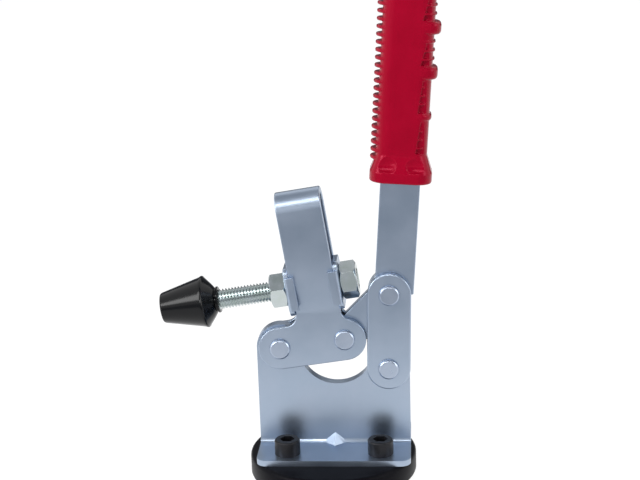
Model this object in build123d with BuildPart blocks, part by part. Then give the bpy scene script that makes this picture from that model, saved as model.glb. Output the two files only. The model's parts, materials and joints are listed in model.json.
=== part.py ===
from math import acos, asin, atan2, cos, degrees, hypot, radians, sin, tan
import os

from build123d import *

# Toggle clamp with an upright lever, standing on a round rubber-coated magnet.
# Millimetres.  x runs along the upright base plates, y away from the front, z up.
# The origin is the centre of the magnet's bottom face.  The clamp is modelled open.

# ---------------------------------------------------------------- driving sizes

# magnet foot
magnet_r = 33.0
magnet_h = 8.5
magnet_edge = 1.6
magnet_floor = 1.2
core_disc_r = 12.0 / 2
core_disc_h = 3.0
core_margin = 1.5
core_inner_ring_r = 9.0
coat_side = 3.0
back_plate_h = 2.5
bush_r = 4.75
bush_length = 6.7
bush_floor = 0.7
bush_rim_gap = 2.7
screw_angle = 36.0

# where the clamp stands on the magnet
base_x = 1.0
mid_y = 2.0

# base plates
base_sheet = 2.3
base_length = 60.0
base_depth = 21.0
bend_inner_r = 1.6
base_corner_r = 4.0
cutout_x = 1.4
cutout_h = 41.9
cutout_r = 14.8
gusset_leg = 4.6
gusset_half_length = 5.0

# screws that hold the base to the magnet
screw_r = 6.0 / 2
screw_length = 8.0
screw_head_r = 10.0 / 2
screw_head_h = 6.0
screw_socket_af = 5.0
screw_socket_depth = 3.0
screw_hole_gap = 0.3

# linkage, in the open position
arm_pivot_x = -20.6
arm_pivot_h = 42.5
link_pivot_x = 21.8
link_pivot_h = 33.9
arm_crank_length = 25.6
lever_crank_length = 25.2
link_length = 30.1
open_angle = 8.0
lobe_r = 8.5
rivet_r = 5.0 / 2
rivet_head_r = 8.0 / 2
rivet_head_h = 1.5
rivet_chamfer = 0.6
pivot_gap = 0.06
side_gap = 0.1
release_gap = 0.25
release_angle = 12.4

# clamp arm: one strip folded over, its two legs straddling the base
arm_sheet = 2.3
bar_lean = 8.5
bar_width = 17.5
bar_overhang = 0.65
bar_rise = 38.5
slot_gap = 0.12
joggle_drop = 8.4
joggle_length = 11.5
neck_inner_fillet = 4.6
neck_outer_fillet = 3.5
sheet_edge = 0.4

# spindle, nuts and flanged washers
thread_r = 8.0 / 2
thread_gap = 0.08
nut_crank_gap = 0.55
spindle_length = 60.0
hex_af = 13.0
spindle_head_h = 5.3
nut_h = 6.5
nut_face_r = 6.2
nut_chamfer = 0.8
nut_quarter = 30.0
washer_sheet = 1.8
washer_below = 9.8
washer_above = 9.4
washer_corner_r = 3.0
washer_tab_length = 13.4
washer_tab_depth = 2.2
washer_bend_r = 1.5
washer_gap = 0.15
washer_rest_gap = 0.05
washer_bore_gap = 0.25

# rubber tip
tip_length = 22.9
tip_face_r = 6.1
tip_rim_r = 10.25
tip_rim_at = 17.6
tip_neck_r = 4.7
tip_lip_r = 5.2
tip_lip_h = 1.1
tip_face_at = 43.4

# lever and grip
lever_thickness = 4.4
crank_half = 6.6
stem_width = 15.2
stem_lean = -4.0
stem_offset = 1.8
tang_width = 12.0
tang_length = 95.0
stem_corner_r = 3.0
grip_foot = 45.5
grip_length = 107.0
grip_left = 9.9
grip_right = 9.5
grip_depth = 15.0
grip_corner_r = 5.2
grip_end_fillet = 4.5
collar_drop = 0.7
collar_h = 5.2
collar_half = 11.8
collar_depth = 19.0
collar_corner_r = 6.0
collar_blend = 3.6
tooth_reach = 12.0
tooth_shift = 2.1
tooth_pitch = 2.87
tooth_length = 1.4
first_tooth = 8.05
tooth_count = 31
bump_pitch = 16.5
first_bump = 24.4
bump_reaches = (10.3, 11.6, 11.9, 11.9, 11.9)
bump_lengths = (2.7, 4.9, 4.8, 4.8, 4.8)
finger_inset = 3.9
finger_depth = 1.1
finger_rib_pitch = 3.2
finger_rib_length = 0.9
finger_rib_reach = 10.2
ribs_per_finger = 3

# ---------------------------------------------------------------- places worked out

base_z = magnet_h
back_plate_r = magnet_r - coat_side
core_outer_ring_r = back_plate_r - core_disc_r - core_margin
screw_circle_r = back_plate_r - bush_r - bush_rim_gap
screw_reach_x = screw_circle_r * cos(radians(screw_angle))
screw_reach_y = screw_circle_r * sin(radians(screw_angle))
hex_corner_r = hex_af / 2 / cos(radians(30))
left = base_x - base_length / 2
web_half = base_sheet
leg_inner = web_half + side_gap
leg_outer = leg_inner + arm_sheet
head_seat = leg_outer + pivot_gap
flange_top = base_z + base_sheet

arm_pivot = (base_x + arm_pivot_x, base_z + arm_pivot_h)
link_pivot = (base_x + link_pivot_x, base_z + link_pivot_h)


def polar(point, reach, angle):
    return (point[0] + reach * cos(radians(angle)), point[1] + reach * sin(radians(angle)))


def heading(start, end):
    return degrees(atan2(end[1] - start[1], end[0] - start[0]))


def distance(start, end):
    return hypot(end[0] - start[0], end[1] - start[1])


def triangle_apex(start, reach_start, end, reach_end):
    """The point at both reaches from two pivots, on the left of the line between them."""
    span = distance(start, end)
    corner = acos((reach_start**2 + span**2 - reach_end**2) / (2 * reach_start * span))
    return polar(start, reach_start, heading(start, end) + degrees(corner))


arm_lever_pivot = polar(arm_pivot, arm_crank_length, open_angle)
lever_pivot = triangle_apex(arm_lever_pivot, lever_crank_length, link_pivot, link_length)

# Closed, the lever's crank and the links lie in one line: the toggle's dead centre.
base_span = distance(arm_pivot, link_pivot)
stretched = lever_crank_length + link_length
corner_at_arm = degrees(acos((arm_crank_length**2 + base_span**2 - stretched**2) / (2 * arm_crank_length * base_span)))
closed_angle = heading(arm_pivot, link_pivot) + corner_at_arm
closed_arm_lever_pivot = polar(arm_pivot, arm_crank_length, closed_angle)
arm_travel = closed_angle - open_angle
closed_line = heading(closed_arm_lever_pivot, link_pivot)
lever_travel = heading(arm_lever_pivot, lever_pivot) - closed_line
link_travel = closed_line + 180 - heading(link_pivot, lever_pivot)

# ---------------------------------------------------------------- planes


def side_plane(y, point=(0, 0), lean=0):
    """Upright plane across the clamp, seen from the front, turned anticlockwise by lean about a point."""
    turn = radians(lean)
    return Plane(origin=(point[0], y, point[1]), x_dir=(cos(turn), 0, sin(turn)), z_dir=(0, -1, 0))


def along(point, lean, across, up):
    """A point given across and up in a frame turned by lean about a point, back in x and z."""
    turn = radians(lean)
    return (
        point[0] + across * cos(turn) - up * sin(turn),
        point[1] + across * sin(turn) + up * cos(turn),
    )


def cross_plane(across, up=0.0):
    """Plane square to the spindle, placed in the arm's frame: its x is depth, its y runs up the bar."""
    x, z = along(arm_pivot, bar_lean, across, up)
    turn = radians(bar_lean)
    return Plane(origin=(x, mid_y, z), x_dir=(0, 1, 0), z_dir=(cos(turn), 0, sin(turn)))


def grip_plane(up):
    """Plane square to the lever's stem at a height above the lever's upper pivot, its x to the right."""
    x, z = along(lever_pivot, stem_lean, stem_offset, up)
    turn = radians(stem_lean)
    return Plane(origin=(x, mid_y, z), x_dir=(cos(turn), 0, sin(turn)), z_dir=(-sin(turn), 0, cos(turn)))


def finish(part, name):
    part.label = name
    export_step(part, f"parts/{name}.step")


os.makedirs("parts", exist_ok=True)

# ---------------------------------------------------------------- magnet foot

disc_z = magnet_floor + core_disc_h
bush_z = base_z - bush_length
screw_points = [
    (base_x + i * screw_reach_x, mid_y + j * screw_reach_y) for j in (-1, 1) for i in (-1, 1)
]
core_points = [polar((0, 0), core_outer_ring_r, 90 * i) for i in range(4)]
core_points += [polar((0, 0), core_inner_ring_r, 90 * i + 45) for i in range(4)]

with BuildPart() as magnet_jacket:
    with BuildSketch(Plane.XY):
        Circle(magnet_r)
    extrude(amount=magnet_h)
    fillet(magnet_jacket.edges().group_by(Axis.Z)[-1], magnet_edge)
    chamfer(magnet_jacket.edges().group_by(Axis.Z)[0], magnet_edge / 3)
    with BuildSketch(Plane.XY.offset(disc_z)):
        Circle(back_plate_r)
    extrude(amount=back_plate_h, mode=Mode.SUBTRACT)
    with BuildSketch(Plane.XY.offset(magnet_floor)):
        with Locations(*core_points):
            Circle(core_disc_r)
    extrude(amount=core_disc_h, mode=Mode.SUBTRACT)
    with BuildSketch(Plane.XY.offset(bush_z)):
        with Locations(*screw_points):
            Circle(bush_r)
    extrude(amount=bush_length, mode=Mode.SUBTRACT)
finish(magnet_jacket.part, "magnet_jacket")

with BuildPart() as magnet_back_plate:
    with BuildSketch(Plane.XY.offset(disc_z)):
        Circle(back_plate_r)
        with Locations(*screw_points):
            Circle(bush_r, mode=Mode.SUBTRACT)
    extrude(amount=back_plate_h)
finish(magnet_back_plate.part, "magnet_back_plate")

for number, point in enumerate(core_points, 1):
    with BuildPart() as magnet_disc:
        with BuildSketch(Plane.XY.offset(magnet_floor)):
            with Locations(point):
                Circle(core_disc_r)
        extrude(amount=core_disc_h)
    finish(magnet_disc.part, f"magnet_disc_{number}")

# ---------------------------------------------------------------- base

for number, point in enumerate(screw_points, 1):
    with BuildPart() as threaded_bush:
        with BuildSketch(Plane.XY.offset(bush_z)):
            with Locations(point):
                Circle(bush_r)
        extrude(amount=bush_length)
        with BuildSketch(Plane.XY.offset(bush_z + bush_floor)):
            with Locations(point):
                Circle(screw_r)
        extrude(amount=bush_length - bush_floor, mode=Mode.SUBTRACT)
    finish(threaded_bush.part, f"threaded_bush_{number}")

    with BuildPart() as base_screw:
        with BuildSketch(Plane.XY.offset(flange_top - screw_length)):
            with Locations(point):
                Circle(screw_r)
        extrude(amount=screw_length)
        with BuildSketch(Plane.XY.offset(flange_top)):
            with Locations(point):
                Circle(screw_head_r)
        extrude(amount=screw_head_h)
        chamfer(base_screw.edges().group_by(Axis.Z)[-1], 0.5)
        with BuildSketch(Plane.XY.offset(flange_top + screw_head_h)):
            with Locations(point):
                RegularPolygon(screw_socket_af / 2, 6, major_radius=False)
        extrude(amount=-screw_socket_depth, mode=Mode.SUBTRACT)
        chamfer(base_screw.edges().group_by(Axis.Z)[0], 0.5)
    finish(base_screw.part, f"base_screw_{number}")


def base_plate(name, side):
    """One bent plate of the base: side is -1 at the front, with its foot forward, and 1 at the back."""
    bend_outer_r = bend_inner_r + base_sheet
    lobe_top = base_z + base_length
    with BuildPart() as plate:
        with BuildSketch(Plane.YZ.offset(left)):
            with BuildLine():
                Polyline(
                    (mid_y, lobe_top),
                    (mid_y, base_z),
                    (mid_y + side * base_depth, base_z),
                    (mid_y + side * base_depth, flange_top),
                    (mid_y + side * base_sheet, flange_top),
                    (mid_y + side * base_sheet, lobe_top),
                    close=True,
                )
            make_face()
        extrude(amount=base_length)
        inside = plate.edges().filter_by(Axis.X).filter_by_position(Axis.Z, flange_top - 0.01, flange_top + 0.01)
        fillet(inside.sort_by(lambda e: abs(e.center().Y - mid_y))[0], bend_inner_r)
        corner = plate.edges().filter_by(Axis.X).filter_by_position(Axis.Z, base_z - 0.01, base_z + 0.01)
        fillet(corner.sort_by(lambda e: abs(e.center().Y - mid_y))[0], bend_outer_r)
        foot = plate.edges().filter_by(Axis.Z).filter_by_position(
            Axis.Y, mid_y + side * base_depth - 0.01, mid_y + side * base_depth + 0.01
        )
        fillet(foot, base_corner_r)
        # the web's outline: a lobe round each pivot and the round cut-out that the lever swings in
        with BuildSketch(side_plane(mid_y + 2 * base_depth)):
            for pivot, side_x in ((arm_pivot, left), (link_pivot, left + base_length)):
                lobe = abs(side_x - pivot[0])
                with Locations(pivot):
                    Circle(lobe)
                with Locations((pivot[0], base_z)):
                    Rectangle(2 * lobe, pivot[1] - base_z, align=(Align.CENTER, Align.MIN))
            with Locations((base_x, base_z)):
                Rectangle(base_length, link_pivot_h, align=(Align.CENTER, Align.MIN))
            with Locations((base_x + cutout_x, base_z + cutout_h)):
                Circle(cutout_r, mode=Mode.SUBTRACT)
        extrude(amount=4 * base_depth, mode=Mode.INTERSECT)
        # the pivot hole, tight on the arm's rivet
        with BuildSketch(side_plane(mid_y + 2 * base_sheet)):
            with Locations(arm_pivot):
                Circle(rivet_r)
        extrude(amount=4 * base_sheet, mode=Mode.SUBTRACT)
        # the open pivot: a slot to the right edge, in which the links' lower rivet stands clear
        with BuildSketch(side_plane(mid_y + 2 * base_sheet, link_pivot, release_angle)):
            with Locations((base_length / 2, 0)):
                Rectangle(base_length, 2 * (rivet_r + release_gap))
            Circle(rivet_r + release_gap)
        extrude(amount=4 * base_sheet, mode=Mode.SUBTRACT)
        # screw holes through the foot
        with BuildSketch(Plane.XY.offset(base_z)):
            with Locations(*[p for p in screw_points if (p[1] - mid_y) * side > 0]):
                Circle(screw_r + screw_hole_gap)
        extrude(amount=base_sheet, mode=Mode.SUBTRACT)
        # gusset pressed into the bend, highest at its middle
        root = (mid_y + side * base_sheet, flange_top)
        for end in (-1, 1):
            with BuildSketch(Plane.YZ.offset(base_x)):
                with BuildLine():
                    Polyline(
                        (root[0] - side * 0.5, root[1] - 0.5),
                        (root[0] + side * gusset_leg, root[1] - 0.5),
                        (root[0] - side * 0.5, root[1] + gusset_leg),
                        close=True,
                    )
                make_face()
            with BuildSketch(Plane.YZ.offset(base_x + end * gusset_half_length)):
                with BuildLine():
                    Polyline(
                        (root[0] - side * 0.5, root[1] - 0.5),
                        (root[0] + side * 0.4, root[1] - 0.5),
                        (root[0] - side * 0.5, root[1] + 0.4),
                        close=True,
                    )
                make_face()
            loft()
    finish(plate.part, name)


base_plate("base_plate_front", -1)
base_plate("base_plate_rear", 1)


# ---------------------------------------------------------------- rivets


def rivet(name, point, seat):
    """Flat-headed rivet through both sides at a pivot, its heads seated at a distance from the middle."""
    with BuildPart() as pin:
        with BuildSketch(side_plane(mid_y + seat, point)):
            Circle(rivet_r)
        extrude(amount=2 * seat)
        for side in (-1, 1):
            with BuildSketch(side_plane(mid_y + side * seat, point)):
                Circle(rivet_head_r)
            extrude(amount=-side * rivet_head_h)
        ends = pin.edges().filter_by(GeomType.CIRCLE).group_by(Axis.Y)
        chamfer(ends[0], rivet_chamfer)
        chamfer(ends[-1], rivet_chamfer)
    finish(pin.part, name)


rivet("arm_pivot_rivet", arm_pivot, head_seat)
rivet("arm_lever_rivet", arm_lever_pivot, leg_outer)
rivet("link_lever_rivet", lever_pivot, leg_outer)
rivet("link_pivot_rivet", link_pivot, leg_outer)

# ---------------------------------------------------------------- links

for name, side in (("link_front", -1), ("link_rear", 1)):
    with BuildPart() as link:
        with BuildSketch(side_plane(mid_y + side * leg_inner)):
            with Locations(lever_pivot, link_pivot):
                Circle(lobe_r)
            make_hull()
            with Locations(lever_pivot, link_pivot):
                Circle(rivet_r, mode=Mode.SUBTRACT)
        extrude(amount=-side * arm_sheet)
        outer = link.faces().sort_by(Axis.Y)[0 if side < 0 else -1]
        chamfer(outer.outer_wire().edges(), sheet_edge)
    finish(link.part, name)

# ---------------------------------------------------------------- clamp arm

bar_right = arm_crank_length + bar_overhang
bar_left = bar_right - bar_width
washer_out = washer_rest_gap + washer_sheet
nut_left = bar_left - washer_out
nut_right = bar_right + washer_out

# The spindle sits just high enough for the nut's corner to stay clear of the lever's crank.
crank_slope = heading(arm_lever_pivot, lever_pivot) - bar_lean
crank_edge = (
    arm_crank_length * cos(radians(open_angle - bar_lean)) - crank_half * sin(radians(crank_slope)),
    arm_crank_length * sin(radians(open_angle - bar_lean)) + crank_half * cos(radians(crank_slope)),
)
nut_corner_at = nut_right + nut_h - nut_chamfer
crank_edge_height = crank_edge[1] + (nut_corner_at - crank_edge[0]) * tan(radians(crank_slope))
spindle_seat = crank_edge_height + nut_crank_gap / cos(radians(crank_slope)) + hex_corner_r
bar_top = spindle_seat + bar_rise

# The legs open out past the spindle, their slanted inner faces just clear of its thread.
joggle_sight = hypot(leg_inner, joggle_drop)
joggle_turn = asin((thread_r + slot_gap) / joggle_sight) - atan2(leg_inner, joggle_drop)
joggle_shift = arm_sheet * tan(joggle_turn / 2)
bar_gap = 2 * (leg_inner + joggle_length * tan(joggle_turn))
joggle_foot = spindle_seat - joggle_drop - joggle_shift
joggle_top = joggle_foot + joggle_length
bar_outer = bar_gap / 2 + arm_sheet
fold_at = bar_top - bar_outer
strip_foot = -2 * lobe_r
strip_start = -3 * lobe_r
strip_reach = arm_crank_length + 6 * lobe_r
lever_joint = (arm_crank_length * cos(radians(open_angle - bar_lean)), arm_crank_length * sin(radians(open_angle - bar_lean)))


with BuildPart() as clamp_arm:
    # the folded strip, seen along its width
    with BuildSketch(cross_plane(strip_start)):
        with BuildLine():
            for side in (-1, 1):
                Polyline(
                    (side * bar_outer, fold_at),
                    (side * bar_outer, joggle_top),
                    (side * leg_outer, joggle_foot),
                    (side * leg_outer, strip_foot),
                    (side * leg_inner, strip_foot),
                    (side * leg_inner, joggle_foot + joggle_shift),
                    (side * bar_gap / 2, joggle_top + joggle_shift),
                    (side * bar_gap / 2, fold_at),
                )
            ThreePointArc((-bar_outer, fold_at), (0, bar_top), (bar_outer, fold_at))
            ThreePointArc((-bar_gap / 2, fold_at), (0, fold_at + bar_gap / 2), (bar_gap / 2, fold_at))
        make_face()
    extrude(amount=strip_reach)
    # trimmed to the outline of the legs and the bar
    with BuildSketch(side_plane(mid_y + 2 * bar_outer, arm_pivot, bar_lean)) as arm_outline:
        with Locations((0, 0), lever_joint):
            Circle(lobe_r)
        make_hull()
        with Locations((bar_left, 0)):
            Rectangle(bar_width, 2 * bar_top, align=(Align.MIN, Align.MIN))
        corners = arm_outline.vertices().filter_by_position(Axis.Y, lobe_r - 1.5, lobe_r + 1.5)
        corners = corners.filter_by_position(Axis.X, bar_left - 0.01, bar_right + 0.01).sort_by(Axis.X)
        fillet(corners[0], neck_inner_fillet)
        corners = arm_outline.vertices().filter_by_position(Axis.Y, lobe_r - 1.5, lobe_r + 1.5)
        fillet(corners.sort_by(lambda v: abs(v.X - bar_right))[0], neck_outer_fillet)
    extrude(amount=4 * bar_outer, mode=Mode.INTERSECT)
    with BuildSketch(side_plane(mid_y + 2 * bar_outer)):
        with Locations(arm_pivot):
            Circle(rivet_r + pivot_gap)
        with Locations(arm_lever_pivot):
            Circle(rivet_r)
    extrude(amount=4 * bar_outer, mode=Mode.SUBTRACT)
finish(clamp_arm.part, "clamp_arm")

# ---------------------------------------------------------------- washers, nuts and spindle

tab_inner = bar_outer + washer_gap
tab_outer = tab_inner + washer_sheet
tab_centre = spindle_seat + (washer_above - washer_below) / 2


def washer(name, face, outward):
    """Washer lying on one edge of the bar, with two tabs folded over the legs; outward is -1 or 1."""
    with BuildPart() as folded:
        with BuildSketch(cross_plane(face)):
            with Locations((0, tab_centre)):
                RectangleRounded(2 * tab_inner, washer_below + washer_above, washer_corner_r)
                Rectangle(2 * tab_outer, washer_tab_length)
        extrude(amount=outward * washer_sheet)
        for side in (-1, 1):
            with BuildSketch(cross_plane(face)):
                with Locations((side * (tab_inner + washer_sheet / 2), tab_centre)):
                    Rectangle(washer_sheet, washer_tab_length)
            extrude(amount=-outward * washer_tab_depth)
        with BuildSketch(cross_plane(face - outward * washer_sheet)):
            with Locations((0, spindle_seat)):
                Circle(thread_r + washer_bore_gap)
        extrude(amount=3 * outward * washer_sheet, mode=Mode.SUBTRACT)
        outer = along(arm_pivot, bar_lean, face + outward * washer_sheet, tab_centre)
        bends = [
            e for e in folded.edges().filter_by(GeomType.LINE)
            if abs(abs(e.center().Y - mid_y) - tab_outer) < 0.01
            and hypot(e.center().X - outer[0], e.center().Z - outer[1]) < 0.01
        ]
        fillet(bends, washer_bend_r)
    finish(folded.part, name)


def nut(name, face, outward, turned):
    """Hexagon nut on the spindle, its inner face at a place along the spindle; turned is its angle."""
    with BuildPart() as hexagon:
        with BuildSketch(cross_plane(face)):
            with Locations((0, spindle_seat)):
                RegularPolygon(hex_af / 2, 6, major_radius=False, rotation=turned)
        extrude(amount=outward * nut_h)
        with BuildSketch(side_plane(mid_y, arm_pivot, bar_lean)):
            near = face
            far = face + outward * nut_h
            step = outward * nut_chamfer
            with BuildLine():
                Polyline(
                    (near, spindle_seat),
                    (near, spindle_seat + nut_face_r),
                    (near + step, spindle_seat + hex_corner_r),
                    (far - step, spindle_seat + hex_corner_r),
                    (far, spindle_seat + nut_face_r),
                    (far, spindle_seat),
                    close=True,
                )
            make_face()
        revolve(axis=spindle_axis, mode=Mode.INTERSECT)
        with BuildSketch(cross_plane(face)):
            with Locations((0, spindle_seat)):
                Circle(thread_r + thread_gap)
        extrude(amount=outward * nut_h, mode=Mode.SUBTRACT)
    finish(hexagon.part, name)


axis_x, axis_z = along(arm_pivot, bar_lean, 0, spindle_seat)
spindle_axis = Axis((axis_x, mid_y, axis_z), (cos(radians(bar_lean)), 0, sin(radians(bar_lean))))
spindle_end = nut_right + nut_h
head_back = spindle_end - spindle_length
head_front = head_back - spindle_head_h

washer("flanged_washer_tip_side", bar_left - washer_rest_gap, -1)
washer("flanged_washer_end_side", bar_right + washer_rest_gap, 1)
nut("spindle_nut_tip_side", nut_left, -1, 0)
nut("spindle_nut_end_side", nut_right, 1, nut_quarter)

with BuildPart() as spindle:
    with BuildSketch(cross_plane(head_back)):
        with Locations((0, spindle_seat)):
            Circle(thread_r)
    extrude(amount=spindle_length)
    chamfer(spindle.edges().filter_by(GeomType.CIRCLE).sort_by(Axis.X)[-1], 0.6)
    with BuildSketch(cross_plane(head_front)):
        with Locations((0, spindle_seat)):
            RegularPolygon(hex_af / 2, 6, major_radius=False)
    extrude(amount=spindle_head_h)
finish(spindle.part, "spindle")

tip_face = -tip_face_at
tip_rim = tip_face + tip_rim_at
tip_end = tip_face + tip_length
with BuildPart() as rubber_tip:
    with BuildSketch(side_plane(mid_y, arm_pivot, bar_lean)):
        with BuildLine():
            Polyline(
                (tip_face, spindle_seat),
                (tip_face, spindle_seat + tip_face_r),
                (tip_rim, spindle_seat + tip_rim_r),
                (tip_end - tip_lip_h, spindle_seat + tip_neck_r),
                (tip_end - tip_lip_h / 2, spindle_seat + tip_lip_r),
                (tip_end, spindle_seat + tip_lip_r),
                (tip_end, spindle_seat),
                close=True,
            )
        make_face()
    revolve(axis=spindle_axis)
    rims = rubber_tip.edges().filter_by(GeomType.CIRCLE).sort_by(lambda e: e.radius)
    fillet(rims[-1], 0.8)
    rims = rubber_tip.edges().filter_by(GeomType.CIRCLE).sort_by(Axis.X)
    fillet(rims[0], 1.0)
    with BuildSketch(cross_plane(head_back)):
        with Locations((0, spindle_seat)):
            Circle(thread_r)
    extrude(amount=spindle_length, mode=Mode.SUBTRACT)
    with BuildSketch(cross_plane(head_front)):
        with Locations((0, spindle_seat)):
            RegularPolygon(hex_af / 2, 6, major_radius=False)
    extrude(amount=spindle_head_h, mode=Mode.SUBTRACT)
finish(rubber_tip.part, "rubber_tip")

# ---------------------------------------------------------------- lever and grip

crank_angle = heading(arm_lever_pivot, lever_pivot)
crank_middle = polar(arm_lever_pivot, lever_crank_length / 2, crank_angle)

with BuildPart() as lever:
    with BuildSketch(side_plane(mid_y + lever_thickness / 2)) as lever_outline:
        with Locations(arm_lever_pivot, lever_pivot):
            Circle(lobe_r)
        with Locations(Location(crank_middle, crank_angle)):
            Rectangle(lever_crank_length, 2 * crank_half)
        with Locations(Location(along(lever_pivot, stem_lean, stem_offset, 0), stem_lean)):
            Rectangle(stem_width, grip_foot, align=(Align.CENTER, Align.MIN))
            Rectangle(tang_width, grip_foot + tang_length, align=(Align.CENTER, Align.MIN))
        corner = lever_outline.vertices().sort_by_distance(along(lever_pivot, stem_lean, stem_offset - stem_width / 2, 4))
        fillet(corner[0], stem_corner_r)
    extrude(amount=lever_thickness)
    with BuildSketch(side_plane(mid_y + lever_thickness)):
        with Locations(arm_lever_pivot, lever_pivot):
            Circle(rivet_r + pivot_gap)
    extrude(amount=2 * lever_thickness, mode=Mode.SUBTRACT)
finish(lever.part, "lever")


def ring(up, length, low, high, depth, corner_r):
    """One slice of the grip: a rounded block from a height above the grip's foot."""
    with BuildSketch(grip_plane(grip_foot + up)) as slice_outline:
        with Locations(((low + high) / 2, 0)):
            RectangleRounded(high - low, depth, corner_r)
    extrude(slice_outline.sketch, amount=length)


with BuildPart() as lever_grip:
    ring(0, grip_length, -grip_left, grip_right, grip_depth, grip_corner_r)
    fillet(lever_grip.edges().group_by(Axis.Z)[-1], grip_end_fillet)
    ring(-collar_drop, collar_drop + collar_h, -collar_half, collar_half, collar_depth, collar_corner_r)
    with BuildSketch(grip_plane(grip_foot + collar_h)):
        RectangleRounded(2 * collar_half, collar_depth, collar_corner_r)
    with BuildSketch(grip_plane(grip_foot + collar_h + collar_blend)):
        with Locations(((grip_right - grip_left) / 2, 0)):
            RectangleRounded(grip_left + grip_right, grip_depth, grip_corner_r)
    loft()
    fillet(lever_grip.edges().group_by(Axis.Z)[0], collar_drop)
    # finger recesses along the right side, with ribs in them and a bump between each two
    for i, length in enumerate(bump_lengths):
        middle = first_bump + i * bump_pitch
        if i < len(bump_lengths) - 1:
            with BuildSketch(grip_plane(grip_foot + middle + length / 2 + 1)):
                for side in (-1, 1):
                    with Locations((grip_right, side * grip_depth / 2)):
                        Rectangle(2 * finger_inset, 2 * finger_depth)
            extrude(amount=bump_pitch - length - 2, mode=Mode.SUBTRACT)
    for i, (reach, length) in enumerate(zip(bump_reaches, bump_lengths)):
        middle = first_bump + i * bump_pitch
        ring(middle - length / 2, length, -grip_corner_r, reach, grip_depth, grip_corner_r)
        if i < len(bump_reaches) - 1:
            for j in range(ribs_per_finger):
                at = middle + bump_pitch / 2 + (j - (ribs_per_finger - 1) / 2) * finger_rib_pitch
                ring(at - finger_rib_length / 2, finger_rib_length, -grip_corner_r, finger_rib_reach,
                     grip_depth, grip_corner_r)
    for i in range(tooth_count):
        ring(first_tooth + i * tooth_pitch - tooth_length / 2, tooth_length, -tooth_reach, tooth_shift,
             grip_depth, grip_corner_r)
    # the slot that the lever's flat stem and tang fill
    with BuildSketch(side_plane(mid_y + lever_thickness / 2)):
        with Locations(Location(along(lever_pivot, stem_lean, stem_offset, 0), stem_lean)):
            Rectangle(stem_width, grip_foot, align=(Align.CENTER, Align.MIN))
            Rectangle(tang_width, grip_foot + tang_length, align=(Align.CENTER, Align.MIN))
    extrude(amount=lever_thickness, mode=Mode.SUBTRACT)
finish(lever_grip.part, "lever_grip")
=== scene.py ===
import json
import math

import bpy
from mathutils import Matrix, Vector


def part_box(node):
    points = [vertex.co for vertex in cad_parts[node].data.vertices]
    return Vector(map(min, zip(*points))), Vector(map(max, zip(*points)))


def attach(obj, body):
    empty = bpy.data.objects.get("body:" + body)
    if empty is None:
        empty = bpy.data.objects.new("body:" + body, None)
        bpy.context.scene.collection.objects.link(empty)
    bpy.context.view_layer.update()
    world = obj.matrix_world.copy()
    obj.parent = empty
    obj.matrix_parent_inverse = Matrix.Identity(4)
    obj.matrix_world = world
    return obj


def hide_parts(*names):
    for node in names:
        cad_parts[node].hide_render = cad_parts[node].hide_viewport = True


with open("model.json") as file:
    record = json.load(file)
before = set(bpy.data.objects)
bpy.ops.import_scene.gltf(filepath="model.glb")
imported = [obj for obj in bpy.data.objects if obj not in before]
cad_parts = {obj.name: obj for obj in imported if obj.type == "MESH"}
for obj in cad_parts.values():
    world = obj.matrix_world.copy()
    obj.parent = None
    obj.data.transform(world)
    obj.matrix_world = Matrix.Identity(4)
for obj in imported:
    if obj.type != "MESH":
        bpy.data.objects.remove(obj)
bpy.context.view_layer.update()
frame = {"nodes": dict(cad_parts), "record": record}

mm = 0.001
deg = math.pi / 180

# how close points are to be merged, and how flat two faces are to become one: too little to see
meshLook = {"copyMerge": 0.002 * mm, "copyFlatWithin": 0.6 * deg, "turnedMerge": 0.005 * mm,
            "flatFaceWeight": 80}


def deselectAll():
    if bpy.context.object and bpy.context.object.mode != "OBJECT":
        bpy.ops.object.mode_set(mode="OBJECT")
    bpy.ops.object.select_all(action="DESELECT")


def makeActive(obj):
    deselectAll()
    obj.select_set(True)
    bpy.context.view_layer.objects.active = obj


def applyModifiers(obj):
    makeActive(obj)
    for modifier in list(obj.modifiers):
        bpy.ops.object.modifier_apply(modifier=modifier.name)


def settle(obj):
    # place, turn and scale go into the mesh, so the object ends at the origin
    makeActive(obj)
    bpy.ops.object.transform_apply(location=True, rotation=True, scale=True)


def joinAll(pieces):
    # all the pieces become part of the first one
    deselectAll()
    for piece in pieces:
        piece.select_set(True)
    bpy.context.view_layer.objects.active = pieces[0]
    bpy.ops.object.join()
    return bpy.context.object


def cleanMesh(obj):
    # closes the seam and the poles of a turned shape, then turns its faces outwards
    makeActive(obj)
    bpy.ops.object.mode_set(mode="EDIT")
    bpy.ops.mesh.select_all(action="SELECT")
    bpy.ops.mesh.remove_doubles(threshold=meshLook["turnedMerge"])
    bpy.ops.mesh.normals_make_consistent(inside=False)
    bpy.ops.object.mode_set(mode="OBJECT")


def addBevel(obj, width, segments, angle):
    bevel = obj.modifiers.new("edges", "BEVEL")
    bevel.width = width
    bevel.segments = segments
    bevel.limit_method = "ANGLE"
    bevel.angle_limit = angle * deg
    bevel.use_clamp_overlap = True
    bevel.miter_outer = "MITER_ARC"


def smoothByAngle(obj, angle):
    makeActive(obj)
    bpy.ops.object.shade_smooth_by_angle(angle=angle * deg)


def roundEdges(obj, look, smoothAngle):
    # large faces keep their own direction, so only the rounded edges shade round
    addBevel(obj, look["edge"] * mm, look["edgeSegments"], look["edgeAngle"])
    applyModifiers(obj)
    smoothByAngle(obj, smoothAngle)
    weighted = obj.modifiers.new("flatFaces", "WEIGHTED_NORMAL")
    weighted.mode = "FACE_AREA"
    weighted.weight = meshLook["flatFaceWeight"]
    weighted.keep_sharp = True
    applyModifiers(obj)


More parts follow.
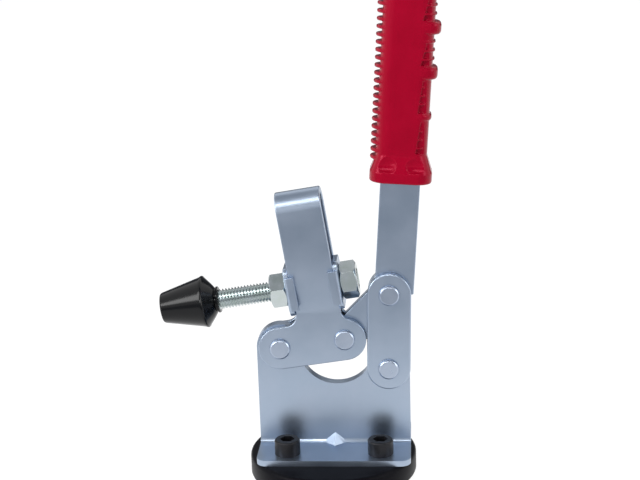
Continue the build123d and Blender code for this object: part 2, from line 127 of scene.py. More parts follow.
def selectWhere(obj, kind, test):
    # selects the faces or edges whose middle passes the test, and stays in edit mode
    bpy.ops.object.mode_set(mode="EDIT")
    bpy.ops.mesh.select_mode(type=kind)
    bpy.ops.mesh.select_all(action="DESELECT")
    bpy.ops.object.mode_set(mode="OBJECT")
    mesh = obj.data
    if kind == "FACE":
        for face in mesh.polygons:
            face.select = test(face.center, face.normal)
    else:
        for edge in mesh.edges:
            start, end = (mesh.vertices[number].co for number in edge.vertices)
            edge.select = test((start + end) / 2, (end - start).normalized())
    bpy.ops.object.mode_set(mode="EDIT")


def finishPiece(obj, name, body, material, replaces):
    obj.name = name
    obj.data.name = name
    obj.data.materials.clear()
    obj.data.materials.append(material)
    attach(obj, body)
    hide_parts(*replaces)


def copyOfNode(node):
    # a merged copy of a CAD node's mesh, to be given its real edges
    source = frame["nodes"][node]
    mesh = source.data.copy()
    mesh.materials.clear()
    obj = bpy.data.objects.new(node + "Copy", mesh)
    bpy.context.scene.collection.objects.link(obj)
    makeActive(obj)
    bpy.ops.object.mode_set(mode="EDIT")
    bpy.ops.mesh.select_all(action="SELECT")
    bpy.ops.mesh.customdata_custom_splitnormals_clear()
    bpy.ops.mesh.remove_doubles(threshold=meshLook["copyMerge"])
    bpy.ops.mesh.dissolve_limited(angle_limit=meshLook["copyFlatWithin"])
    bpy.ops.object.mode_set(mode="OBJECT")
    return obj


def toLinear(hexColour):
    parts = [int(hexColour[i:i + 2], 16) / 255 for i in (1, 3, 5)]
    return [c / 12.92 if c <= 0.04045 else ((c + 0.055) / 1.055) ** 2.4 for c in parts] + [1.0]


def plainGrey(value):
    return [value, value, value, 1.0]


def addNode(tree, kind, settings=None, links=None):
    # settings go to sockets by name or number, else to the node itself; stops are a ramp's two ends
    node = tree.nodes.new(kind)
    for key, value in (settings or {}).items():
        if key == "stops":
            for element, (place, colour) in zip(node.color_ramp.elements, value):
                element.position = place
                element.color = colour
        elif isinstance(key, int) or key in node.inputs:
            node.inputs[key].default_value = value
        else:
            setattr(node, key, value)
    for key, source in (links or {}).items():
        tree.links.new(source, node.inputs[key])
    return node


def newMaterial(name):
    material = bpy.data.materials.new(name)
    material.use_nodes = True
    tree = material.node_tree
    tree.nodes.clear()
    return material, tree, addNode(tree, "ShaderNodeOutputMaterial")


# Bright zinc plate on steel: bluish and satin, with faint clouds and a fine grain that softens
# what it mirrors. The sheet is the dullest, the screwed parts paler and brighter. Real grain is
# too fine to show, so it's drawn coarser. Sizes are in millimetres, and roughness goes from the
# smoothest to the roughest of the clouds.
zincLook = {
    "zincPlatedSheet": {
        "colour": "#afbcce", "shade": "#a4b3c6", "roughness": (0.29, 0.38),
        "cloudSize": 14.0, "grainSize": 0.35, "grainDepth": 0.02, "bump": 0.25},
    "zincPlatedRivet": {
        "colour": "#b6c1d2", "shade": "#acb8ca", "roughness": (0.26, 0.35),
        "cloudSize": 5.0, "grainSize": 0.3, "grainDepth": 0.02, "bump": 0.2},
    "brightZincPlate": {
        "colour": "#c6cdd0", "shade": "#bcc6c3", "roughness": (0.16, 0.25),
        "cloudSize": 4.0, "grainSize": 0.25, "grainDepth": 0.02, "bump": 0.15}}


def zincPlate(name):
    look = zincLook[name]
    material, tree, output = newMaterial(name)
    place = addNode(tree, "ShaderNodeTexCoord").outputs["Object"]
    clouds = addNode(tree, "ShaderNodeTexNoise", {
        "Scale": 1 / (look["cloudSize"] * mm), "Detail": 3.0}, {"Vector": place})
    grain = addNode(tree, "ShaderNodeTexNoise", {
        "Scale": 1 / (look["grainSize"] * mm), "Detail": 2.0}, {"Vector": place})
    tint = addNode(tree, "ShaderNodeValToRGB", {
        "stops": ((0.3, toLinear(look["shade"])), (0.7, toLinear(look["colour"])))}, {
        "Fac": clouds.outputs["Fac"]})
    smoothest, roughest = look["roughness"]
    rough = addNode(tree, "ShaderNodeValToRGB", {
        "stops": ((0.25, plainGrey(smoothest)), (0.75, plainGrey(roughest)))}, {
        "Fac": clouds.outputs["Fac"]})
    bump = addNode(tree, "ShaderNodeBump", {
        "Strength": look["bump"], "Distance": look["grainDepth"] * mm}, {
        "Height": grain.outputs["Fac"]})
    shader = addNode(tree, "ShaderNodeBsdfPrincipled", {"Metallic": 1.0}, {
        "Base Color": tint.outputs["Color"], "Roughness": rough.outputs["Color"],
        "Normal": bump.outputs["Normal"]})
    tree.links.new(shader.outputs["BSDF"], output.inputs["Surface"])
    return material


# Black oxide on machined steel: nearly black, faintly glossy from its oil, its grain drawn
# coarse enough to show.
oxideLook = {"colour": "#2a2a2e", "shade": "#1b1b1e", "metallic": 0.6, "roughness": 0.38,
             "grainSize": 0.4, "grainDepth": 0.02, "bump": 0.2}


def blackOxide(name):
    look = oxideLook
    material, tree, output = newMaterial(name)
    place = addNode(tree, "ShaderNodeTexCoord").outputs["Object"]
    grain = addNode(tree, "ShaderNodeTexNoise", {
        "Scale": 1 / (look["grainSize"] * mm), "Detail": 3.0}, {"Vector": place})
    tint = addNode(tree, "ShaderNodeValToRGB", {
        "stops": ((0.3, toLinear(look["shade"])), (0.75, toLinear(look["colour"])))}, {
        "Fac": grain.outputs["Fac"]})
    bump = addNode(tree, "ShaderNodeBump", {
        "Strength": look["bump"], "Distance": look["grainDepth"] * mm}, {
        "Height": grain.outputs["Fac"]})
    shader = addNode(tree, "ShaderNodeBsdfPrincipled", {
        "Metallic": look["metallic"], "Roughness": look["roughness"]}, {
        "Base Color": tint.outputs["Color"], "Normal": bump.outputs["Normal"]})
    tree.links.new(shader.outputs["BSDF"], output.inputs["Surface"])
    return material


# Moulded goods: one colour with faint mottling, under the shallow skin of the mould.
# The red vinyl is glossy with reddish glints, the tip's black rubber has a clear sheen, and the
# magnet's coat is nearly matt with a pebbled skin.
mouldedLook = {
    "redVinyl": {
        "colour": "#9b0122", "shade": "#92001e", "roughness": 0.22, "ior": 1.5, "gloss": 0.45,
        "sheen": "#ff7090", "mottleSize": 9.0, "skinSize": 0.5, "skinDepth": 0.03, "bump": 0.12},
    "blackMouldedRubber": {
        "colour": "#06070a", "shade": "#040508", "roughness": 0.15, "ior": 1.5, "gloss": 0.24,
        "sheen": "#ffffff", "mottleSize": 3.0, "skinSize": 0.6, "skinDepth": 0.03, "bump": 0.15},
    "rubberCoating": {
        "colour": "#0f0f14", "shade": "#0a0a0f", "roughness": 0.4, "ior": 1.5, "gloss": 0.06,
        "sheen": "#ffffff", "mottleSize": 1.2, "skinSize": 0.45, "skinDepth": 0.03, "bump": 0.5}}


def moulded(name):
    look = mouldedLook[name]
    material, tree, output = newMaterial(name)
    place = addNode(tree, "ShaderNodeTexCoord").outputs["Object"]
    mottle = addNode(tree, "ShaderNodeTexNoise", {
        "Scale": 1 / (look["mottleSize"] * mm), "Detail": 3.0}, {"Vector": place})
    skin = addNode(tree, "ShaderNodeTexNoise", {
        "Scale": 1 / (look["skinSize"] * mm), "Detail": 2.0}, {"Vector": place})
    tint = addNode(tree, "ShaderNodeValToRGB", {
        "stops": ((0.3, toLinear(look["shade"])), (0.7, toLinear(look["colour"])))}, {
        "Fac": mottle.outputs["Fac"]})
    bump = addNode(tree, "ShaderNodeBump", {
        "Strength": look["bump"], "Distance": look["skinDepth"] * mm}, {
        "Height": skin.outputs["Fac"]})
    shader = addNode(tree, "ShaderNodeBsdfPrincipled", {
        "Roughness": look["roughness"], "IOR": look["ior"], "Specular IOR Level": look["gloss"],
        "Specular Tint": toLinear(look["sheen"])}, {
        "Base Color": tint.outputs["Color"], "Normal": bump.outputs["Normal"]})
    tree.links.new(shader.outputs["BSDF"], output.inputs["Surface"])
    return material


zincSheet = zincPlate("zincPlatedSheet")
zincRivet = zincPlate("zincPlatedRivet")
zincThread = zincPlate("brightZincPlate")
gripPlastic = moulded("redVinyl")
tipRubber = moulded("blackMouldedRubber")
coatRubber = moulded("rubberCoating")
blackSteel = blackOxide("blackOxideSteel")
print("materials made")


# the stamped plates, with rounded sheared edges; the pressed gusset in the base plates is soft,
# so those two are smoothed further
sheetLook = {"edge": 0.42, "edgeSegments": 3, "edgeAngle": 40, "smoothAngle": 40, "gussetAngle": 75}
for node, name, body in (
        ("base_plate_front", "basePlateFront", "base"),
        ("base_plate_rear", "basePlateRear", "base"),
        ("clamp_arm", "clampArm", "arm"), ("lever", "leverPlate", "lever"),
        ("link_front", "linkFront", "links"), ("link_rear", "linkRear", "links"),
        ("flanged_washer_tip_side", "flangedWasherTipSide", "carriage"),
        ("flanged_washer_end_side", "flangedWasherEndSide", "carriage")):
    sheet = copyOfNode(node)
    angle = sheetLook["gussetAngle"] if body == "base" else sheetLook["smoothAngle"]
    roundEdges(sheet, sheetLook, angle)
    finishPiece(sheet, name, body, zincSheet, (node,))
print("sheet metal made")

rivetLook = {"edge": 0.18, "edgeSegments": 2, "edgeAngle": 30, "smoothAngle": 40}
for node, name, body in (
        ("arm_pivot_rivet", "armPivotRivet", "base"), ("arm_lever_rivet", "armLeverRivet", "arm"),
        ("link_lever_rivet", "linkLeverRivet", "links"),
        ("link_pivot_rivet", "linkPivotRivet", "links")):
    rivet = copyOfNode(node)
    roundEdges(rivet, rivetLook, rivetLook["smoothAngle"])
    finishPiece(rivet, name, body, zincRivet, (node,))
print("rivets made")


def profileLine(points):
    # one vertex, extruded from point to point; points are (radius, height) in millimetres
    deselectAll()
    bpy.ops.mesh.primitive_plane_add(size=mm)
    obj = bpy.context.object
    bpy.ops.object.mode_set(mode="EDIT")
    bpy.ops.mesh.select_all(action="SELECT")
    bpy.ops.mesh.merge(type="CENTER")
    at = (0.0, 0.0)
    for number, point in enumerate(points):
        step = ((point[0] - at[0]) * mm, 0, (point[1] - at[1]) * mm)
        if number == 0:
            bpy.ops.transform.translate(value=step)
        else:
            bpy.ops.mesh.extrude_region_move(TRANSFORM_OT_translate={"value": step})
        at = point
    return obj


def turnedPiece(points, steps):
    # the profile spun once round the z axis
    obj = profileLine(points)
    bpy.ops.mesh.select_all(action="SELECT")
    bpy.ops.mesh.spin(steps=steps, angle=2 * math.pi, center=(0, 0, 0), axis=(0, 0, 1))
    bpy.ops.object.mode_set(mode="OBJECT")
    cleanMesh(obj)
    return obj


def boxMiddle(node):
    low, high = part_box(node)
    return (low + high) / 2


# the arm leans back, and the spindle stands square to it through the middle of its nuts
armLean = 8.5 * deg
alongSpindle = Vector((math.cos(armLean), 0, math.sin(armLean)))  # away from the tip
upArm = Vector((-math.sin(armLean), 0, math.cos(armLean)))
endNutMiddle = boxMiddle("spindle_nut_end_side")


def spindleMatrix(distance):
    # z runs along the spindle, from a point at this many millimetres beyond the end nut's middle
    origin = endNutMiddle + alongSpindle * distance * mm
    return Matrix((
        (upArm.x, 0, alongSpindle.x, origin.x),
        (0, -1, 0, origin.y),
        (upArm.z, 0, alongSpindle.z, origin.z),
        (0, 0, 0, 1)))


# each nut is turned about the spindle by some degrees, as nuts come to rest when tightened
nutLook = {"edge": 0.22, "edgeSegments": 2, "edgeAngle": 20, "smoothAngle": 30,
           "halfHeight": 3.25, "tipSideTurn": -15, "endSideTurn": -8}
for node, name, turn in (
        ("spindle_nut_tip_side", "spindleNutTipSide", nutLook["tipSideTurn"]),
        ("spindle_nut_end_side", "spindleNutEndSide", nutLook["endSideTurn"])):
    nut = copyOfNode(node)
    spin = Matrix.Rotation(turn * deg, 4, alongSpindle)
    nut.matrix_world = (Matrix.Translation(endNutMiddle) @ spin
                        @ Matrix.Translation(-endNutMiddle))
    settle(nut)
    roundEdges(nut, nutLook, nutLook["smoothAngle"])
    finishPiece(nut, name, "carriage", zincThread, (node,))


# a metric thread of 1.25 mm pitch with narrow flat crests, and the hexagon head inside the tip
spindleLook = {"major": 3.98, "minor": 3.2, "pitch": 1.25, "crest": 0.14, "length": 60.0,
               "steps": 28, "spareTurns": 3, "headAcross": 13.0, "headHeight": 5.3,
               "headEdge": 0.3, "headSegments": 2, "headAngle": 40, "smoothAngle": 40}


def makeThread():
    look = spindleLook
    pitch, crest = look["pitch"], look["crest"]
    flank = (pitch - 2 * crest) / 2
    thread = profileLine([
        (look["minor"], 0), (look["major"], flank), (look["major"], flank + crest),
        (look["minor"], 2 * flank + crest), (look["minor"], pitch)])
    bpy.ops.object.mode_set(mode="OBJECT")
    screw = thread.modifiers.new("thread", "SCREW")
    screw.steps = screw.render_steps = look["steps"]
    screw.iterations = int(look["length"] / pitch) + look["spareTurns"]
    screw.screw_offset = pitch * mm
    screw.use_merge_vertices = True
    screw.merge_threshold = meshLook["turnedMerge"]
    applyModifiers(thread)
    cleanMesh(thread)
    # the spare turns at both ends are cut off, and the cuts filled
    bpy.ops.object.mode_set(mode="EDIT")
    start, end = pitch, pitch + look["length"]
    for height, normal in ((start, -1), (end, 1)):
        bpy.ops.mesh.select_all(action="SELECT")
        bpy.ops.mesh.bisect(plane_co=(0, 0, height * mm), plane_no=(0, 0, normal),
                            use_fill=True, clear_outer=True)
    bpy.ops.mesh.select_all(action="SELECT")
    bpy.ops.mesh.normals_make_consistent(inside=False)
    bpy.ops.object.mode_set(mode="OBJECT")
    thread.matrix_world = spindleMatrix(nutLook["halfHeight"] - end)
    settle(thread)
    return thread


def makeSpindle():
    look = spindleLook
    thread = makeThread()
    bpy.ops.mesh.primitive_cylinder_add(
        vertices=6, radius=look["headAcross"] / math.sqrt(3) * mm, depth=look["headHeight"] * mm)
    head = bpy.context.object
    head.matrix_world = spindleMatrix(
        nutLook["halfHeight"] - look["length"] - look["headHeight"] / 2)
    settle(head)
    addBevel(head, look["headEdge"] * mm, look["headSegments"], look["headAngle"])
    applyModifiers(head)
    spindle = joinAll([thread, head])
    smoothByAngle(spindle, look["smoothAngle"])
    finishPiece(spindle, "threadedSpindle", "spindle", zincThread, ("spindle",))


# a cone that widens from its dished face to a rounded rim, then narrows steeply to a neck with
# a lip; each round is a row of (out, up) steps from the radius and height that it belongs to
tipLook = {
    "dish": ((0.0, 0.25), (3.2, 0.2)),
    "face": (6.1, 0.0), "faceRound": ((-1.0, 0.0), (-0.35, 0.12), (0.0, 0.7)),
    "rim": (10.25, 17.6),
    "rimRound": ((-0.35, -1.3), (-0.05, -0.75), (0.0, -0.3), (-0.25, 0.05), (-0.7, 0.3)),
    "neck": (4.75, 21.8), "neckRound": ((1.85, -1.4), (0.65, -0.55), (0.0, -0.1), (0.05, 0.2)),
    "lip": 5.2, "lipRise": 0.45, "lipRound": (0.2, 0.15),
    "length": 22.9, "hollow": 3.9, "hollowDepth": 2.0,
    "faceToNut": 78.0, "steps": 96, "smoothAngle": 38}


def stepsFrom(corner, steps):
    return [(corner[0] + out, corner[1] + up) for out, up in steps]


def makeTip():
    look = tipLook
    lip, top, hollow = look["lip"], look["length"], look["hollow"]
    out, down = look["lipRound"]
    floor = top - look["hollowDepth"]
    tip = turnedPiece(
        list(look["dish"]) + stepsFrom(look["face"], look["faceRound"])
        + stepsFrom(look["rim"], look["rimRound"]) + stepsFrom(look["neck"], look["neckRound"])
        + [(lip, look["neck"][1] + look["lipRise"]), (lip, top - down), (lip - out, top),
           (hollow, top), (hollow, floor), (0, floor)], look["steps"])
    tip.matrix_world = spindleMatrix(nutLook["halfHeight"] - look["faceToNut"])
    settle(tip)
    smoothByAngle(tip, look["smoothAngle"])
    finishPiece(tip, "rubberTip", "spindle", tipRubber, ("rubber_tip",))


makeSpindle()
makeTip()
print("spindle, nuts and tip made")


# the magnet's coat, round at its top edge and nearly sharp at the bottom
jacketLook = {"radius": 33.0, "height": 8.5, "topEdge": 1.7, "topStep": 15, "bottomEdge": 0.6,
              "bottomRound": 0.18, "steps": 128, "smoothAngle": 40}


def makeJacket():
    look = jacketLook
    radius, height, top = look["radius"], look["height"], look["topEdge"]
    corner = [(radius - top + top * math.sin(angle * deg),
               height - top + top * math.cos(angle * deg))
              for angle in range(90, -1, -look["topStep"])]
    bottom = [(0, 0), (radius - look["bottomEdge"], 0),
              (radius - look["bottomRound"], look["bottomRound"]), (radius, look["bottomEdge"])]
    jacket = turnedPiece(bottom + corner + [(0, height)], look["steps"])
    smoothByAngle(jacket, look["smoothAngle"])
    finishPiece(jacket, "magnetJacket", "base", coatRubber, ("magnet_jacket",))


makeJacket()
screwLook = {"count": 4, "edge": 0.25, "edgeSegments": 2, "edgeAngle": 35, "smoothAngle": 35}
for number in range(1, screwLook["count"] + 1):
    node = f"base_screw_{number}"
    screw = copyOfNode(node)
    roundEdges(screw, screwLook, screwLook["smoothAngle"])
    finishPiece(screw, f"baseScrew{number}", "base", blackSteel, (node,))
print("foot made")


# The grip is made of overlapping forms, fused into one moulded skin. Its sizes are millimetres
# from its foot, x towards the finger side and z up. The panels and ribs numbered below openFrom
# stop short of the finger side's edge, and those above run out through it.
gripLook = {
    "foot": (28.43, 2.0, 117.76), "lean": -4.0,
    "low": 1.0, "length": 107.0, "left": -9.9, "right": 9.5, "halfDepth": 7.5,
    "corner": 5.2, "cornerSegments": 8, "endRound": 4.2, "endSegments": 6,
    "collarHalf": 11.8, "collarHalfDepth": 9.5, "collarLow": -0.7, "collarHigh": 3.9,
    "collarCorner": 6.0, "collarSegments": 10, "collarRim": 0.8,
    "rampSink": 0.9, "rampHigh": 10.2, "rampShrink": (0.79, 0.77, 1.0),
    "scoopAt": 6.1, "scoopHigh": 7.4, "scoopRadii": (7.6, 5.8, 5.8), "scoopDepth": 13.0,
    "scoopSegments": 48, "scoopRings": 24,
    "firstTooth": 8.05, "toothPitch": 2.87, "toothCount": 31, "toothLength": 1.35,
    "toothMiddle": -3.0, "toothRadii": (9.0, 7.42), "toothSides": 64,
    "toothEdge": 0.45, "toothEdgeSegments": 3, "toothEdgeAngle": 50,
    "fromInside": -2.0, "openFrom": 2,
    "firstBump": 24.4, "bumpPitch": 16.5, "bumpReach": (10.3, 11.6, 11.9, 11.9, 11.9),
    "bumpLength": (2.7, 4.9, 4.8, 4.8, 4.8), "bumpRim": 1.4, "shortBumpRim": 1 / 2.6,
    "panelAboveRamp": 0.6, "panelAboveBump": 0.3, "panelBelowBump": 0.4, "panelWidth": 4.5,
    "panelDepth": 1.7, "panelFade": 0.7, "panelWall": 0.8, "panelTaper": 0.65,
    "cutBeyondSide": 3.0, "cutBeyondFace": 1.0,
    "ribSteps": (-1, 0, 1), "ribPitch": 3.2, "ribLength": 0.8, "ribReach": 10.1,
    "ribInset": 0.1, "ribEdge": 0.3,
    "skin": 0.28, "softenFactor": 0.5, "softenTimes": 2, "kept": 0.5}
nearEdge = 0.001  # millimetres: an edge this close to a rim lies on it


def roundedBlock(low, high, corner, rim=0.0, segments=6, rimSegments=3):
    # a block between two corners in millimetres, its upright edges rounded, then its rims
    deselectAll()
    bpy.ops.mesh.primitive_cube_add(
        size=1, location=[(a + b) / 2 * mm for a, b in zip(low, high)],
        scale=[(b - a) * mm for a, b in zip(low, high)])
    block = bpy.context.object
    settle(block)
    if corner:
        selectWhere(block, "EDGE", lambda place, direction: abs(direction.z) > 0.9)
        bpy.ops.mesh.bevel(offset=corner * mm, segments=segments, affect="EDGES")
        bpy.ops.object.mode_set(mode="OBJECT")
    if rim:
        bottom, top = (low[2] + nearEdge) * mm, (high[2] - nearEdge) * mm
        selectWhere(block, "EDGE", lambda place, direction: (
            abs(direction.z) < 0.1 and not bottom < place.z < top))
        bpy.ops.mesh.bevel(offset=rim * mm, segments=rimSegments, affect="EDGES")
        bpy.ops.object.mode_set(mode="OBJECT")
    return block


def cutAway(pieces, cutters):
    cutter = joinAll(cutters)
    for piece in pieces:
        cut = piece.modifiers.new("cut", "BOOLEAN")
        cut.operation = "DIFFERENCE"
        cut.solver = "EXACT"
        cut.object = cutter
        applyModifiers(piece)
    bpy.data.objects.remove(cutter)


def bumpMiddle(number):
    return gripLook["firstBump"] + number * gripLook["bumpPitch"]


def makeGripBar():
    look = gripLook
    bar = roundedBlock((look["left"], -look["halfDepth"], look["low"]),
                       (look["right"], look["halfDepth"], look["length"]),
                       look["corner"], 0, look["cornerSegments"])
    top = (look["length"] - nearEdge) * mm
    selectWhere(bar, "EDGE", lambda place, direction: place.z > top and abs(direction.z) < 0.1)
    bpy.ops.mesh.bevel(offset=look["endRound"] * mm, segments=look["endSegments"], affect="EDGES")
    bpy.ops.object.mode_set(mode="OBJECT")
    return bar


def panelCutters():
    # between the bumps, on both faces: wide and deep at the foot and fading upwards
    look = gripLook
    depth, right = look["halfDepth"], look["right"]
    cutters = []
    foot = look["rampHigh"] + look["panelAboveRamp"]
    for number, length in enumerate(look["bumpLength"]):
        head = bumpMiddle(number) - length / 2 - look["panelBelowBump"]
        end = right + look["cutBeyondSide"]
        if number < look["openFrom"]:
            end = right - look["panelWall"]
        for side in (-1, 1):
            near, far = sorted((side * (depth - look["panelDepth"]),
                                side * (depth + look["cutBeyondFace"])))
            panel = roundedBlock((right - look["panelWidth"], near, foot), (end, far, head), 0)
            selectWhere(panel, "FACE", lambda place, normal: normal.z > 0.9)
            bpy.ops.transform.resize(value=(look["panelTaper"], 1, 1),
                                     center_override=(end * mm, 0, 0))
            bpy.ops.transform.translate(value=(0, side * look["panelFade"] * mm, 0))
            bpy.ops.object.mode_set(mode="OBJECT")
            cutters.append(panel)
        foot = bumpMiddle(number) + length / 2 + look["panelAboveBump"]
    return cutters


def makeBumps():
    look = gripLook
    bumps = []
    for number, (reach, length) in enumerate(zip(look["bumpReach"], look["bumpLength"])):
        middle = bumpMiddle(number)
        bumps.append(roundedBlock(
            (look["fromInside"], -look["halfDepth"], middle - length / 2),
            (reach, look["halfDepth"], middle + length / 2),
            look["corner"], min(look["bumpRim"], length * look["shortBumpRim"])))
    return bumps


def makeRibs():
    # thin ribs cross each panel, three below every bump
    look = gripLook
    ribs = []
    for number in range(len(look["bumpLength"])):
        reach = look["right"] - look["ribInset"] if number < look["openFrom"] else look["ribReach"]
        for step in look["ribSteps"]:
            low = bumpMiddle(number - 0.5) + step * look["ribPitch"] - look["ribLength"] / 2
            ribs.append(roundedBlock(
                (look["fromInside"], -look["halfDepth"], low),
                (reach, look["halfDepth"], low + look["ribLength"]),
                look["corner"], look["ribEdge"]))
    return ribs


def makeTeeth():
    # a row of flat oval fins along the other side
    look = gripLook
    teeth = []
    for number in range(look["toothCount"]):
        deselectAll()
        height = look["firstTooth"] + number * look["toothPitch"]
        bpy.ops.mesh.primitive_cylinder_add(
            vertices=look["toothSides"], radius=1.0, depth=look["toothLength"] * mm,
            location=(look["toothMiddle"] * mm, 0, height * mm))
        tooth = bpy.context.object
        tooth.scale = [radius * mm for radius in look["toothRadii"]] + [1.0]
        settle(tooth)
        addBevel(tooth, look["toothEdge"] * mm, look["toothEdgeSegments"], look["toothEdgeAngle"])
        applyModifiers(tooth)
        teeth.append(tooth)
    return teeth


def makeCollar():
    # the collar at the foot, and above it a ramp up to the bar
    look = gripLook
    half, deep = look["collarHalf"], look["collarHalfDepth"]
    collar = roundedBlock((-half, -deep, look["collarLow"]), (half, deep, look["collarHigh"]),
                          look["collarCorner"], look["collarRim"], look["collarSegments"])
    ramp = roundedBlock((-half, -deep, look["collarHigh"] - look["rampSink"]),
                        (half, deep, look["rampHigh"]),
                        look["collarCorner"], 0, look["collarSegments"])
    selectWhere(ramp, "FACE", lambda place, normal: normal.z > 0.9)
    bpy.ops.transform.resize(value=look["rampShrink"])
    bpy.ops.object.mode_set(mode="OBJECT")
    return collar, ramp


def scoopCutters():
    # two on each face, left and right of the plain middle, just above the collar
    look = gripLook
    cutters = []
    for side in (-1, 1):
        for across in (-look["scoopAt"], look["scoopAt"]):
            deselectAll()
            bpy.ops.mesh.primitive_uv_sphere_add(
                segments=look["scoopSegments"], ring_count=look["scoopRings"], radius=1.0,
                location=(across * mm, side * look["scoopDepth"] * mm, look["scoopHigh"] * mm))
            scoop = bpy.context.object
            scoop.scale = [radius * mm for radius in look["scoopRadii"]]
            settle(scoop)
            cutters.append(scoop)
    return cutters


def fuseSkin(grip):
    look = gripLook
    grip.data.remesh_voxel_size = look["skin"] * mm
    bpy.ops.object.voxel_remesh()
    soften = grip.modifiers.new("soften", "SMOOTH")
    soften.factor = look["softenFactor"]
    soften.iterations = look["softenTimes"]
    thin = grip.modifiers.new("fewerFaces", "DECIMATE")
    thin.ratio = look["kept"]
    applyModifiers(grip)


def makeGrip():
    look = gripLook
    bar = makeGripBar()
    cutAway([bar], panelCutters())
    pieces = [bar] + makeBumps() + makeRibs() + makeTeeth()
    collar, ramp = makeCollar()
    cutAway([bar, ramp], scoopCutters())
    grip = joinAll(pieces + [collar, ramp])
    fuseSkin(grip)
    lean = look["lean"] * deg
    grip.matrix_world = Matrix((
        (math.cos(lean), 0, -math.sin(lean), look["foot"][0] * mm),
        (0, 1, 0, look["foot"][1] * mm),
        (math.sin(lean), 0, math.cos(lean), look["foot"][2] * mm),
        (0, 0, 0, 1)))
    settle(grip)
    bpy.ops.object.shade_smooth()
    grip.data.calc_loop_triangles()
    print("grip triangles", len(grip.data.loop_triangles))
    finishPiece(grip, "leverGrip", "lever", gripPlastic, ("lever_grip",))


makeGrip()
print("grip made")


# the nodes that keep their CAD shape are inside the foot
slotMaterial = {
    "coating": coatRubber, "mild_steel": zincRivet, "magnet_alloy": zincRivet,
    "black_steel": blackSteel, "zinc_sheet": zincSheet, "zinc_rivet": zincRivet,
    "zinc_bright": zincThread, "grip_plastic": gripPlastic, "tip_rubber": tipRubber}
for entry in frame["record"]["subparts"]:
    obj = frame["nodes"][entry["node"]]
    obj.data.materials.clear()
    obj.data.materials.append(slotMaterial[entry["material_slot"]])
print("inner parts coloured")


# a pale floor that keeps the object's shadow, in a white room; sizes are in metres
stageLook = {"floorSize": 6.0, "floorColour": "#f6f6f6", "shadowShare": 0.22, "floorGlow": 1.16,
             "roomColour": "#eef1f6", "roomStrength": 0.55, "white": "#ffffff"}


def seenRay(tree):
    # 1 for rays that show the background: to the camera, off metal and through glass
    paths = addNode(tree, "ShaderNodeLightPath")
    shown = addNode(tree, "ShaderNodeMath", {"operation": "MAXIMUM"},
                    {0: paths.outputs["Is Camera Ray"], 1: paths.outputs["Is Glossy Ray"]})
    return addNode(tree, "ShaderNodeMath", {"operation": "MAXIMUM"}, {
        0: shown.outputs["Value"], 1: paths.outputs["Is Transmission Ray"]}).outputs["Value"]


def makeFloor():
    look = stageLook
    deselectAll()
    bpy.ops.mesh.primitive_plane_add(size=look["floorSize"], location=(0, 0, 0))
    floor = bpy.context.object
    floor.name = "floor"
    material, tree, output = newMaterial("paleFloor")
    matt = addNode(tree, "ShaderNodeBsdfDiffuse", {"Color": toLinear(look["floorColour"])})
    glow = addNode(tree, "ShaderNodeEmission", {
        "Color": toLinear(look["white"]), "Strength": look["floorGlow"]})
    share = addNode(tree, "ShaderNodeMath", {
        "operation": "MULTIPLY", 1: 1 - look["shadowShare"]}, {0: seenRay(tree)})
    mix = addNode(tree, "ShaderNodeMixShader", links={
        "Fac": share.outputs["Value"], 1: matt.outputs["BSDF"], 2: glow.outputs["Emission"]})
    tree.links.new(mix.outputs["Shader"], output.inputs["Surface"])
    floor.data.materials.append(material)


def makeWorld():
    look = stageLook
    world = bpy.data.worlds.new("studio")
    bpy.context.scene.world = world
    world.use_nodes = True
    tree = world.node_tree
    tree.nodes.clear()
    output = addNode(tree, "ShaderNodeOutputWorld")
    dim = addNode(tree, "ShaderNodeBackground", {
        "Color": toLinear(look["roomColour"]), "Strength": look["roomStrength"]})
    white = addNode(tree, "ShaderNodeBackground", {
        "Color": toLinear(look["white"]), "Strength": 1.0})
    mix = addNode(tree, "ShaderNodeMixShader", links={
        "Fac": seenRay(tree), 1: dim.outputs["Background"], 2: white.outputs["Background"]})
    tree.links.new(mix.outputs["Shader"], output.inputs["Surface"])


# Grey cards stand round the table as in any studio, so that the plated steel has something
# darker than white to mirror. Only reflections show them, and they take no light from the object.
# Each card faces the point that it's given, all in metres.
cardLook = {
    "front": {"middle": (0.0, -2.0, 0.2), "size": (4.0, 0.4), "facing": (0.0, 0.0, 0.1),
              "grey": "#ced1d6"},
    "table": {"middle": (0.0, -1.11, 0.004), "size": (4.0, 1.92), "facing": (0.0, -1.11, 1.0),
              "grey": "#afb1b5"},
    "back": {"middle": (0.0, 1.6, 0.40), "size": (4.0, 0.8), "facing": (0.0, 0.0, 0.1),
             "grey": "#5c5f64"},
    "hood": {"middle": (0.0, -1.3, 1.25), "size": (4.0, 1.3), "facing": (0.0, 0.0, 0.1),
             "grey": "#54575c"},
    "above": {"middle": (0.0, 0.1, 1.5), "size": (1.7, 1.6), "facing": (0.0, 0.1, 0.0),
              "grey": "#a6a9ae"}}


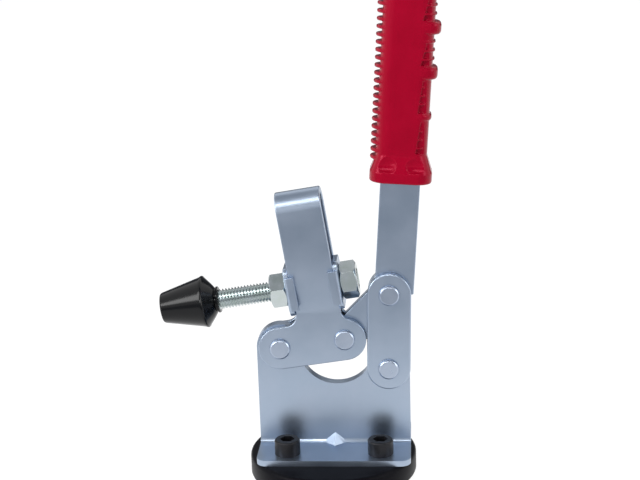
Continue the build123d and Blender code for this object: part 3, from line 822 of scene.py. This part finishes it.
def makeCard(name, look):
    deselectAll()
    bpy.ops.mesh.primitive_plane_add(size=1.0)
    card = bpy.context.object
    card.name = name + "Card"
    turn = (Vector(look["facing"]) - Vector(look["middle"])).to_track_quat("Z", "Y")
    card.matrix_world = (Matrix.Translation(look["middle"]) @ turn.to_matrix().to_4x4()
                         @ Matrix.Diagonal((look["size"][0], look["size"][1], 1, 1)))
    material, tree, output = newMaterial(name + "CardGrey")
    glow = addNode(tree, "ShaderNodeEmission", {"Color": toLinear(look["grey"]), "Strength": 1.0})
    tree.links.new(glow.outputs["Emission"], output.inputs["Surface"])
    card.data.materials.append(material)
    card.visible_camera = card.visible_diffuse = False
    card.visible_shadow = card.visible_transmission = False


# white lamps, all aimed at the middle of the clamp; metres and watts
lampTarget = (0, 0, 0.1)
lampLook = {
    "frontStrip": {"place": (-0.15, -0.85, 1.0), "size": (1.3, 0.2), "power": 6.0},
    "keyLeft": {"place": (-0.9, -0.45, 0.55), "size": (0.35, 0.6), "power": 4.5},
    "keyFront": {"place": (-1.0, -1.25, 0.42), "size": (0.5, 0.25), "power": 2.6},
    "fillRight": {"place": (0.9, -0.3, 0.45), "size": (0.3, 0.6), "power": 1.8}}


def makeLamp(name, look):
    data = bpy.data.lights.new(name, "AREA")
    data.shape = "RECTANGLE"
    data.size, data.size_y = look["size"]
    data.energy = look["power"]
    lamp = bpy.data.objects.new(name, data)
    bpy.context.scene.collection.objects.link(lamp)
    lamp.location = look["place"]
    aim = Vector(lampTarget) - Vector(look["place"])
    lamp.rotation_euler = aim.to_track_quat("-Z", "Y").to_euler()


# the place is in metres, the lens and sensor in millimetres
cameraLook = {"place": (0.035494, -0.497877, 0.227281), "lens": 75.648375, "sensor": 36.0,
              "nearest": 0.01, "pitch": 14.9214 * deg, "yaw": -4.3938 * deg, "roll": -1.8105 * deg}


def makeCamera():
    look = cameraLook
    data = bpy.data.cameras.new("view")
    data.lens = look["lens"]
    data.sensor_width = look["sensor"]
    data.clip_start = look["nearest"]
    camera = bpy.data.objects.new("view", data)
    bpy.context.scene.collection.objects.link(camera)
    camera.matrix_world = (Matrix.Translation(look["place"])
                           @ Matrix.Rotation(-look["yaw"], 4, "Z")
                           @ Matrix.Rotation(math.pi / 2 - look["pitch"], 4, "X")
                           @ Matrix.Rotation(look["roll"], 4, "Z"))
    bpy.context.scene.camera = camera


makeFloor()
makeWorld()
for name, look in cardLook.items():
    makeCard(name, look)
for name, look in lampLook.items():
    makeLamp(name, look)
makeCamera()
bpy.context.scene.view_settings.view_transform = "Standard"
print("floor, room, cards, lamps and camera placed")
